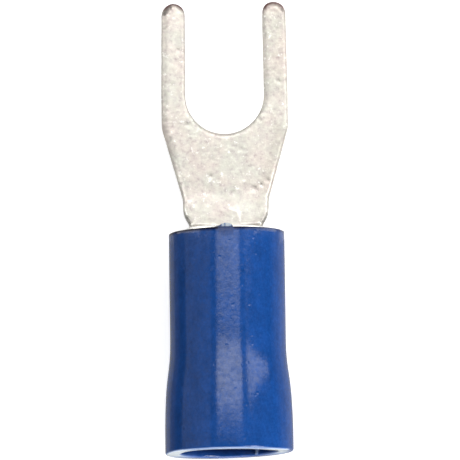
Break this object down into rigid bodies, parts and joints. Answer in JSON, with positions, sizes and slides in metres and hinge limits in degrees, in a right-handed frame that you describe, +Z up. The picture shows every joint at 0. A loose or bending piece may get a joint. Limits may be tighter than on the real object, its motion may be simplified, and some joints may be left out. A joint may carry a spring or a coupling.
{
  "type": "fork terminal",
  "caption": "Crimp terminal with a flat fork tongue for a small screw, a rolled wire barrel and a flared insulating sleeve over it.",
  "frame": {"origin": "centre of the round end of the stud slot, on the underside of the tongue", "axes": "+Z up along the stud and out of the upper face, +Y towards the tips of the tines, -Y the way the wire leaves, +X to the right when the tines point away"},
  "size_m": [0.006, 0.0217, 0.0061],
  "materials": {
    "tinned_copper": "matte tin plate over copper sheet, lightly pitted",
    "blue_pvc": "smooth moulded blue PVC"
  },
  "bodies": {
    "root": {"fork_terminal": "tinned_copper", "insulating_sleeve": "blue_pvc"}
  },
  "joints": []
}
